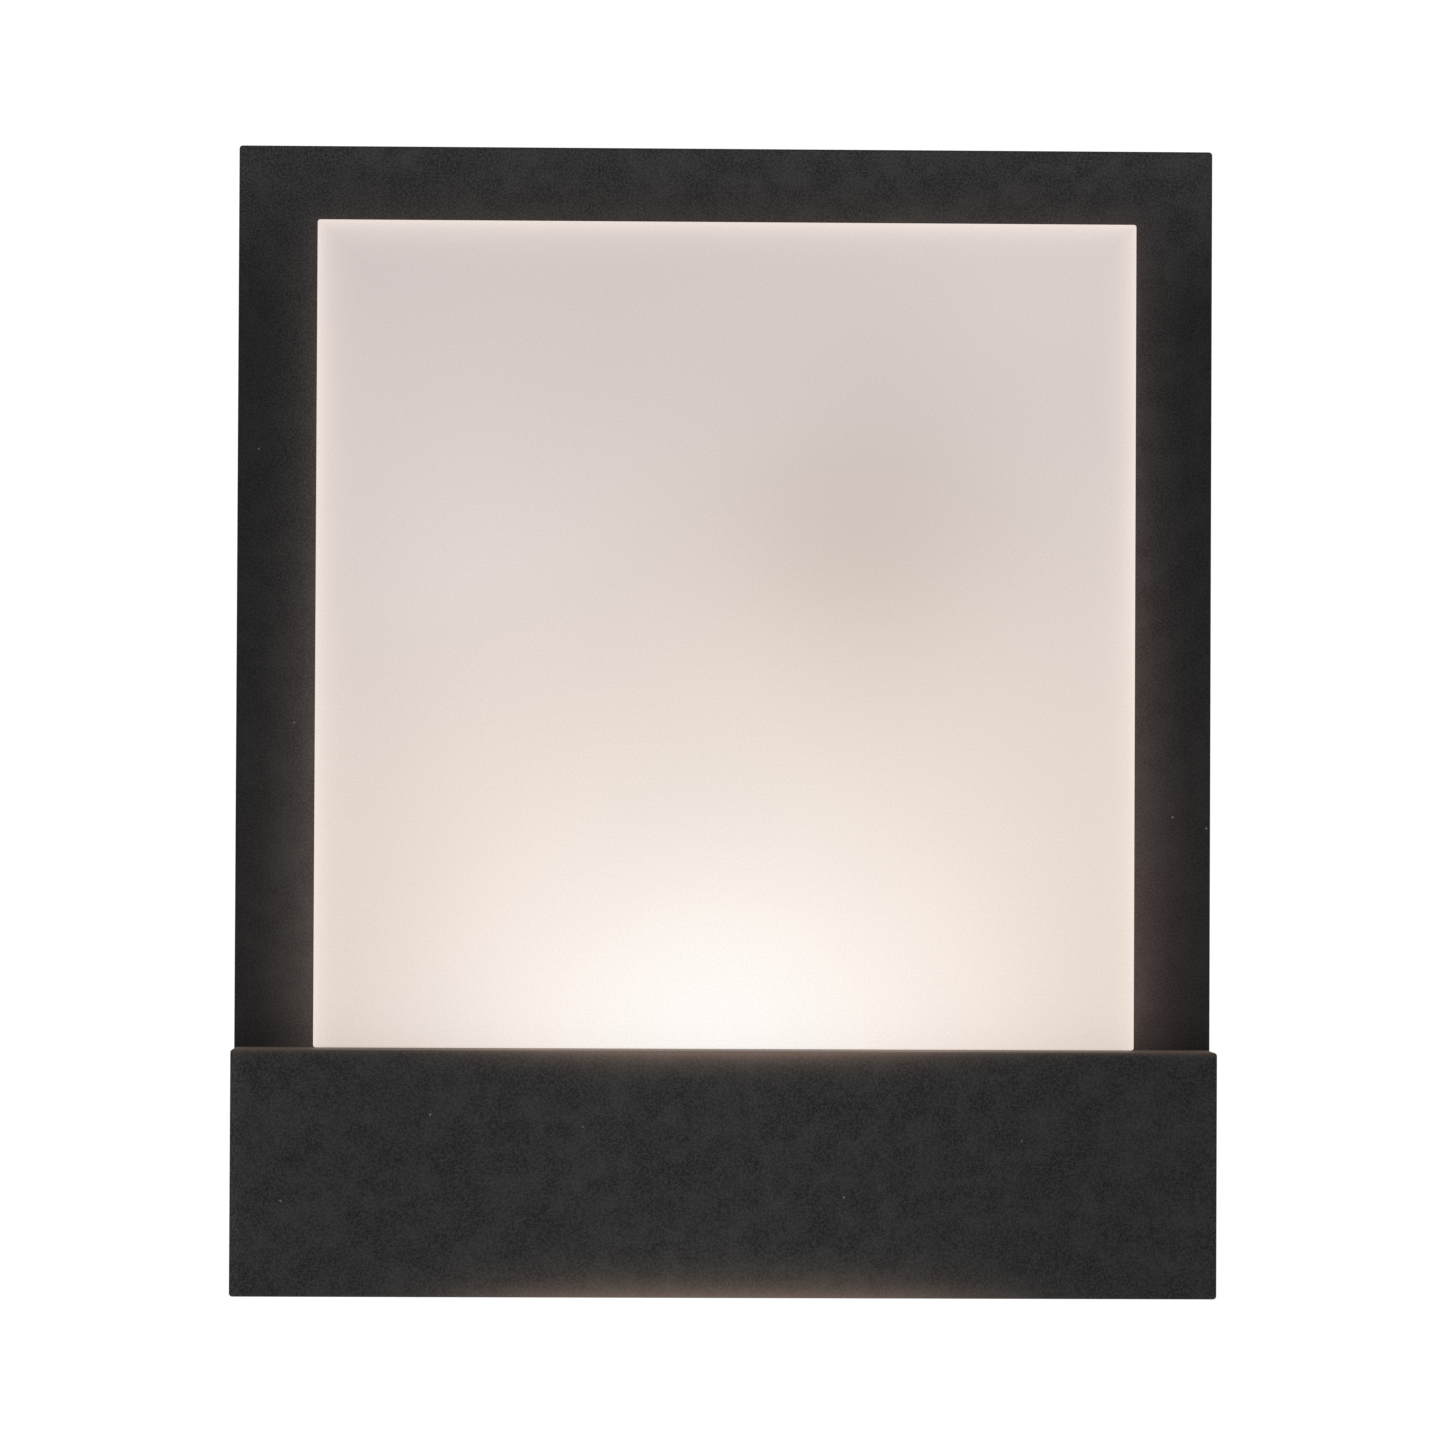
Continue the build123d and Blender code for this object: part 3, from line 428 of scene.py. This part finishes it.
finish_on(
    plain("solder_mask", (0.76, 0.78, 0.74), (0.88, 0.89, 0.86), 0.36, 0.0004, 0.00001),
    "up_led_board", "down_led_board",
)
finish_on(
    plain("driver_plastic", (0.68, 0.68, 0.66), (0.8, 0.8, 0.79), 0.55, 0.0005, 0.00004),
    "led_driver",
)
finish_on(
    plain("grey_polycarbonate", (0.38, 0.39, 0.41), (0.52, 0.53, 0.55), 0.3),
    "terminal_block",
)
finish_on(
    plain("orange_polyamide", (0.66, 0.2, 0.025), (0.88, 0.33, 0.05), 0.34),
    "lever_earth", "lever_neutral", "lever_live",
)
finish_on(
    plain("brass", (0.5, 0.36, 0.14), (0.74, 0.56, 0.27), 0.3, 0.0003, 0.00001, 1.0),
    "earth_screw",
)
finish_on(
    plain("tinned_copper", (0.5, 0.5, 0.49), (0.7, 0.7, 0.69), 0.35, 0.0003, 0.00001, 1.0),
    "earth_ring_tag",
)
finish_on(
    plain("silicone_rubber", (0.028, 0.028, 0.028), (0.055, 0.055, 0.054), 0.7, 0.0007, 0.00005),
    "housing_gasket", "wall_screw_washers", "cable_grommet", "panel_gasket", "lens_gasket",
)

k = Tree("closed_cell_foam")
pores = k.cells(0.0007)
k.put(k.mix(k.remap(pores, 0.1, 0.6), (0.02, 0.02, 0.02), (0.06, 0.06, 0.06)), k.bsdf.inputs["Base Color"])
k.put(k.remap(k.noise(0.008), 0.3, 0.7, 0.85, 0.98), k.bsdf.inputs["Roughness"])
k.bump(pores, 0.00025)
finish_on(k.mat, "wall_gasket")

k = Tree("led_phosphor")
k.put(k.mix(k.noise(0.0008), (0.8, 0.6, 0.2), (0.95, 0.78, 0.36)), k.bsdf.inputs["Base Color"])
k.put(k.remap(k.noise(0.002), 0.3, 0.7, 0.3, 0.45), k.bsdf.inputs["Roughness"])
k.bsdf.inputs["Emission Color"].default_value = (1.0, 0.82, 0.55, 1)
k.bsdf.inputs["Emission Strength"].default_value = 3.0
k.bump(k.noise(0.0004), 0.00002)
finish_on(k.mat, "up_led_chips", "down_led_chips")

red, black_pvc = (0.5, 0.025, 0.02), (0.018, 0.018, 0.018)
wires = {
    "wire_neutral": (0.03, 0.12, 0.42),
    "wire_live": (0.16, 0.06, 0.025),
    "wire_earth": (0.12, 0.3, 0.04),
    "wire_led_positive": red,
    "wire_link_positive": red,
    "wire_led_negative": black_pvc,
    "wire_link_negative": black_pvc,
}
for name, colour in wires.items():
    paler = tuple(c * 1.35 + 0.01 for c in colour)
    finish_on(plain("pvc_" + name, colour, paler, 0.4, 0.0004, 0.00002), name)

k = Tree("pale_floor")
k.put(k.mix(k.noise(0.3, 4.0), (0.78, 0.78, 0.78), (0.84, 0.84, 0.84)), k.bsdf.inputs["Base Color"])
k.bsdf.inputs["Emission Color"].default_value = (1, 1, 1, 1)
k.bsdf.inputs["Emission Strength"].default_value = 0.36
k.put(k.remap(k.noise(0.05), 0.3, 0.7, 0.6, 0.75), k.bsdf.inputs["Roughness"])
floor.data.materials.append(k.mat)
